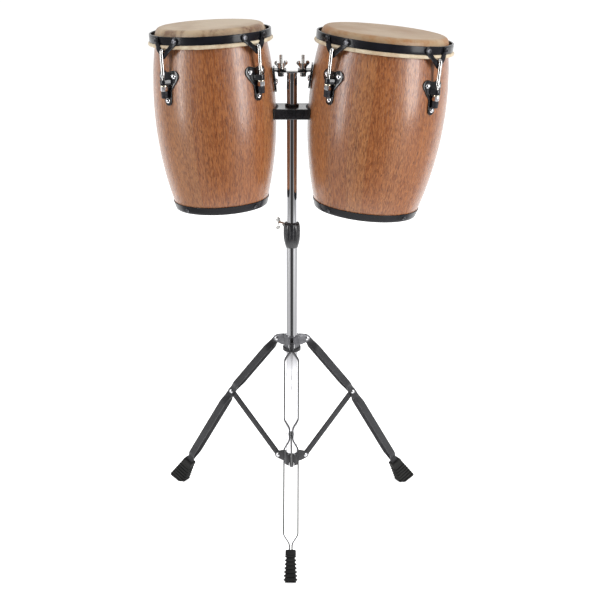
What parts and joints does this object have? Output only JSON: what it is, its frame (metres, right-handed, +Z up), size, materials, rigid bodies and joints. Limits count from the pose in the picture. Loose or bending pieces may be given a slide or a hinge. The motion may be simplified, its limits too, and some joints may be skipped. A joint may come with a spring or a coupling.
{
  "type": "conga drums",
  "caption": "Pair of small conga drums with rawhide heads and tuning hooks, hung side by side on a folding height-adjustable tripod stand.",
  "frame": {"origin": "point on the floor under the pole's axis", "axes": "+Z up along the pole, +X towards the large drum, -Y towards the front leg and the player"},
  "size_m": [0.5439, 0.4511, 0.9467],
  "materials": {
    "staved_wood": "satin lacquer",
    "hoop_black": "satin",
    "lug_black": "gloss",
    "band_black": "satin",
    "screw_dark": "black oxide",
    "drum_chrome": "polished",
    "cap_black": "satin",
    "flesh_wrap": "raw",
    "backing_zinc": "zinc plated",
    "small_rawhide": "smooth, dry",
    "large_rawhide": "smooth, dry",
    "tube_chrome": "polished",
    "moulded_black": "gloss",
    "nylon_white": "plain",
    "stand_chrome": "polished",
    "pad_rubber": "matte",
    "collar_grey": "satin",
    "rivet_zinc": "zinc plated",
    "hub_black": "satin",
    "leg_powder": "speckled powder coat",
    "foot_rubber": "matte"
  },
  "bodies": {
    "column": {"lower_tube": "tube_chrome", "lower_hub": "hub_black", "height_collar": "moulded_black", "collar_bush": "nylon_white"},
    "mast": {"upper_tube": "tube_chrome", "top_plate": "stand_chrome", "rest_bar": "moulded_black", "rest_pads": "pad_rubber"},
    "height_screw": {"height_wing_screw": "stand_chrome"},
    "small_clamp_nut": {"small_wing_nut": "stand_chrome"},
    "large_clamp_nut": {"large_wing_nut": "stand_chrome"},
    "small_drum": {"small_shell": "staved_wood", "small_head_skin": "small_rawhide", "small_flesh_ring": "flesh_wrap", "small_tension_hoop": "hoop_black", "small_hoop_ears": "hoop_black", "small_socket_screws": "screw_dark", "small_tuning_rods": "drum_chrome", "small_rod_caps": "cap_black", "small_lug_plates": "lug_black", "small_shell_bolts": "drum_chrome", "small_backing_plates": "backing_zinc", "small_foot_band": "band_black", "small_mount_bracket": "band_black"},
    "large_drum": {"large_shell": "staved_wood", "large_head_skin": "large_rawhide", "large_flesh_ring": "flesh_wrap", "large_tension_hoop": "hoop_black", "large_hoop_ears": "hoop_black", "large_socket_screws": "screw_dark", "large_tuning_rods": "drum_chrome", "large_rod_caps": "cap_black", "large_lug_plates": "lug_black", "large_shell_bolts": "drum_chrome", "large_backing_plates": "backing_zinc", "large_foot_band": "band_black", "large_mount_bracket": "band_black"},
    "leg_carrier": {"leg_collar": "collar_grey", "collar_rivets": "rivet_zinc"},
    "leg_lock": {"leg_lock_screw": "stand_chrome"},
    "small_nut_1": {"small_tuning_nut_1": "drum_chrome"},
    "small_nut_2": {"small_tuning_nut_2": "drum_chrome"},
    "small_nut_3": {"small_tuning_nut_3": "drum_chrome"},
    "small_nut_4": {"small_tuning_nut_4": "drum_chrome"},
    "large_nut_1": {"large_tuning_nut_1": "drum_chrome"},
    "large_nut_2": {"large_tuning_nut_2": "drum_chrome"},
    "large_nut_3": {"large_tuning_nut_3": "drum_chrome"},
    "large_nut_4": {"large_tuning_nut_4": "drum_chrome"},
    "leg_1": {"leg_1": "leg_powder", "knee_rivet_1": "rivet_zinc", "foot_1": "foot_rubber"},
    "strut_1": {"strut_1": "leg_powder"},
    "leg_2": {"leg_2": "leg_powder", "knee_rivet_2": "rivet_zinc", "foot_2": "foot_rubber"},
    "strut_2": {"strut_2": "leg_powder"},
    "leg_3": {"leg_3": "leg_powder", "knee_rivet_3": "rivet_zinc", "foot_3": "foot_rubber"},
    "strut_3": {"strut_3": "leg_powder"}
  },
  "joints": [
    {"name": "mast_height", "type": "slide", "parent": "column", "child": "mast", "axis": [0, 0, 1], "range_m": [-0.09, 0.2]},
    {"name": "height_screw_turn", "type": "hinge", "parent": "column", "child": "height_screw", "pos_m": [0, 0, 0.582], "axis": [-0.9063, 0.4226, 0], "range_deg": [0, 450]},
    {"name": "small_clamp_turn", "type": "hinge", "parent": "mast", "child": "small_clamp_nut", "pos_m": [-0.0193, 0, 0.8704], "axis": [0, 0, 1], "range_deg": [0, 450]},
    {"name": "large_clamp_turn", "type": "hinge", "parent": "mast", "child": "large_clamp_nut", "pos_m": [0.0193, 0, 0.8704], "axis": [0, 0, 1], "range_deg": [0, 450]},
    {"name": "small_drum_slide", "type": "slide", "parent": "mast", "child": "small_drum", "axis": [-1, 0, 0], "range_m": [0, 0.08]},
    {"name": "large_drum_slide", "type": "slide", "parent": "mast", "child": "large_drum", "axis": [1, 0, 0], "range_m": [0, 0.08]},
    {"name": "small_tuning_1_turn", "type": "hinge", "parent": "small_drum", "child": "small_nut_1", "pos_m": [-0.06046, 0.0868, 0.85116], "axis": [-0.0506, 0, 0.9987], "range_deg": [-450, 450]},
    {"name": "small_tuning_2_turn", "type": "hinge", "parent": "small_drum", "child": "small_nut_2", "pos_m": [-0.2252, 0.07815, 0.84282], "axis": [-0.0506, 0, 0.9987], "range_deg": [-450, 450]},
    {"name": "small_tuning_3_turn", "type": "hinge", "parent": "small_drum", "child": "small_nut_3", "pos_m": [-0.21657, -0.0868, 0.84326], "axis": [-0.0506, 0, 0.9987], "range_deg": [-450, 450]},
    {"name": "small_tuning_4_turn", "type": "hinge", "parent": "small_drum", "child": "small_nut_4", "pos_m": [-0.05182, -0.07815, 0.8516], "axis": [-0.0506, 0, 0.9987], "range_deg": [-450, 450]},
    {"name": "large_tuning_1_turn", "type": "hinge", "parent": "large_drum", "child": "large_nut_1", "pos_m": [0.06101, -0.09065, 0.84696], "axis": [0.0958, 0, 0.9954], "range_deg": [-450, 450]},
    {"name": "large_tuning_2_turn", "type": "hinge", "parent": "large_drum", "child": "large_nut_2", "pos_m": [0.24469, -0.09387, 0.82927], "axis": [0.0958, 0, 0.9954], "range_deg": [-450, 450]},
    {"name": "large_tuning_3_turn", "type": "hinge", "parent": "large_drum", "child": "large_nut_3", "pos_m": [0.24789, 0.09065, 0.82896], "axis": [0.0958, 0, 0.9954], "range_deg": [-450, 450]},
    {"name": "large_tuning_4_turn", "type": "hinge", "parent": "large_drum", "child": "large_nut_4", "pos_m": [0.06421, 0.09387, 0.84665], "axis": [0.0958, 0, 0.9954], "range_deg": [-450, 450]},
    {"name": "leg_fold", "type": "slide", "parent": "column", "child": "leg_carrier", "axis": [0, 0, 1], "range_m": [0, 0.07626]},
    {"name": "leg_lock_turn", "type": "hinge", "parent": "leg_carrier", "child": "leg_lock", "pos_m": [0, 0, 0.35629], "axis": [0, 1, 0], "range_deg": [0, 450]},
    {"name": "leg_1_swing", "type": "hinge", "parent": "leg_carrier", "child": "leg_1", "pos_m": [0, -0.032, 0.35629], "axis": [1, 0, 0], "range_deg": [0, 31.1]},
    {"name": "strut_1_swing", "type": "hinge", "parent": "leg_1", "child": "strut_1", "pos_m": [0, -0.137, 0.22514], "axis": [-1, 0, 0], "range_deg": [0, 65.68]},
    {"name": "leg_2_swing", "type": "hinge", "parent": "leg_carrier", "child": "leg_2", "pos_m": [0.02771, 0.016, 0.35629], "axis": [-0.5, 0.866, 0], "range_deg": [0, 31.1]},
    {"name": "strut_2_swing", "type": "hinge", "parent": "leg_2", "child": "strut_2", "pos_m": [0.11865, 0.0685, 0.22514], "axis": [0.5, -0.866, 0], "range_deg": [0, 65.68]},
    {"name": "leg_3_swing", "type": "hinge", "parent": "leg_carrier", "child": "leg_3", "pos_m": [-0.02771, 0.016, 0.35629], "axis": [-0.5, -0.866, 0], "range_deg": [0, 31.1]},
    {"name": "strut_3_swing", "type": "hinge", "parent": "leg_3", "child": "strut_3", "pos_m": [-0.11865, 0.0685, 0.22514], "axis": [0.5, 0.866, 0], "range_deg": [0, 65.68]}
  ],
  "couplings": [
    {"joint": "leg_1_swing", "follows": "leg_fold", "rad_per_m": 7.0948},
    {"joint": "strut_1_swing", "follows": "leg_fold", "rad_per_m": 15.008},
    {"joint": "leg_2_swing", "follows": "leg_fold", "rad_per_m": 7.0948},
    {"joint": "strut_2_swing", "follows": "leg_fold", "rad_per_m": 15.008},
    {"joint": "leg_3_swing", "follows": "leg_fold", "rad_per_m": 7.0948},
    {"joint": "strut_3_swing", "follows": "leg_fold", "rad_per_m": 15.008}
  ]
}
